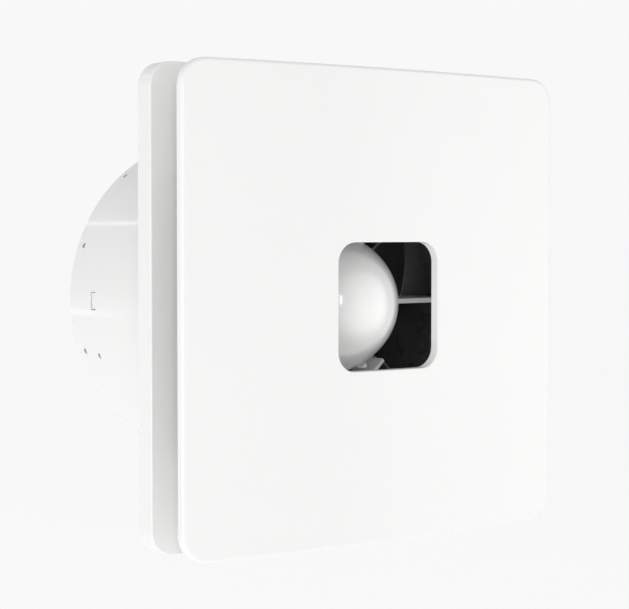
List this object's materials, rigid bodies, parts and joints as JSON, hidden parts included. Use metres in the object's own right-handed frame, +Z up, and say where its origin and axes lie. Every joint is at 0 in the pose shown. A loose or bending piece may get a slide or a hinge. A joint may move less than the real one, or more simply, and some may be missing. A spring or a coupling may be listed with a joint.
{
  "type": "bathroom extractor fan",
  "caption": "Wall extractor fan: bowed square front panel with a window over a domed motor, on a shallow base with a round duct spigot and a back-draught damper.",
  "frame": {"origin": "on the duct's axis, in the plane of the wall that the base stands on", "axes": "+Y along the duct into the wall, +Z up, +X to the right of somebody who faces the panel"},
  "size_m": [0.2, 0.1412, 0.2],
  "materials": {
    "panel_white": "satin-gloss white moulded plastic",
    "body_white": "satin-gloss white moulded plastic",
    "nose_white": "glossy white moulded plastic",
    "black_plastic": "dark moulded plastic, satin",
    "flap_grey": "thin off-white moulded plastic",
    "terminal_white": "off-white nylon",
    "foam": "soft closed-cell foam",
    "rubber": "soft grey rubber",
    "screw_steel": "zinc-plated steel",
    "steel": "bright machined steel",
    "aluminium": "turned aluminium",
    "lamination": "stacked electrical steel",
    "magnet": "bonded ferrite",
    "copper": "enamelled copper wire",
    "brass": "bright brass",
    "circuit_board": "green laminate",
    "lead_sheath": "white PVC sheath"
  },
  "bodies": {
    "housing": {"base_frame": "body_white", "duct_spigot": "body_white", "motor_frame": "body_white", "damper_ring": "body_white", "lead_clip": "body_white", "terminal_cover": "body_white", "nose_dome": "nose_white", "inlet_shroud": "black_plastic", "board_capacitors": "black_plastic", "board_chips": "black_plastic", "board_choke": "black_plastic", "terminal_block": "terminal_white", "board_connector": "terminal_white", "stator_insulators": "terminal_white", "cord_clamp": "terminal_white", "wall_gasket": "foam", "panel_bushes": "rubber", "cable_grommet": "rubber", "spigot_screws": "screw_steel", "rib_screws": "screw_steel", "board_screws": "screw_steel", "tube_screws": "screw_steel", "terminal_screws": "screw_steel", "terminal_cover_screw": "screw_steel", "cord_clamp_screws": "screw_steel", "front_bearing_outer_ring": "steel", "rear_bearing_outer_ring": "steel", "preload_washer": "steel", "damper_rod": "steel", "bearing_tube": "aluminium", "stator_core": "lamination", "stator_windings": "copper", "terminal_clamps": "brass", "driver_board": "circuit_board", "motor_lead": "lead_sheath"},
    "panel": {"front_panel": "panel_white"},
    "rotor": {"impeller": "black_plastic", "rotor_cup": "steel", "magnet_ring": "magnet", "motor_shaft": "steel", "shaft_clip": "steel", "impeller_screws": "screw_steel", "front_bearing_inner_ring": "steel", "rear_bearing_inner_ring": "steel"},
    "front_balls": {"front_bearing_balls": "steel"},
    "rear_balls": {"rear_bearing_balls": "steel"},
    "left_flap": {"left_flap": "flap_grey", "left_flap_spring": "steel"},
    "right_flap": {"right_flap": "flap_grey", "right_flap_spring": "steel"}
  },
  "joints": [
    {"name": "panel_pull", "type": "slide", "parent": "housing", "child": "panel", "axis": [0, -1, 0], "range_m": [0, 0.045]},
    {"name": "impeller_spin", "type": "hinge", "parent": "housing", "child": "rotor", "pos_m": [0, 0.045, 0], "axis": [0, -1, 0], "continuous": true},
    {"name": "front_balls_spin", "type": "hinge", "parent": "housing", "child": "front_balls", "pos_m": [0, 0.0275, 0], "axis": [0, -1, 0], "continuous": true},
    {"name": "rear_balls_spin", "type": "hinge", "parent": "housing", "child": "rear_balls", "pos_m": [0, 0.0485, 0], "axis": [0, -1, 0], "continuous": true},
    {"name": "left_flap_hinge", "type": "hinge", "parent": "housing", "child": "left_flap", "pos_m": [0, 0.092, 0], "axis": [0, 0, -1], "range_deg": [0, 78], "stiffness_Nm_per_rad": 0.004, "springref_deg": -11.46},
    {"name": "right_flap_hinge", "type": "hinge", "parent": "housing", "child": "right_flap", "pos_m": [0, 0.092, 0], "axis": [0, 0, 1], "range_deg": [0, 78], "stiffness_Nm_per_rad": 0.004, "springref_deg": -11.46}
  ],
  "couplings": [
    {"joint": "front_balls_spin", "follows": "impeller_spin", "ratio": 0.3944},
    {"joint": "rear_balls_spin", "follows": "impeller_spin", "ratio": 0.3944}
  ]
}
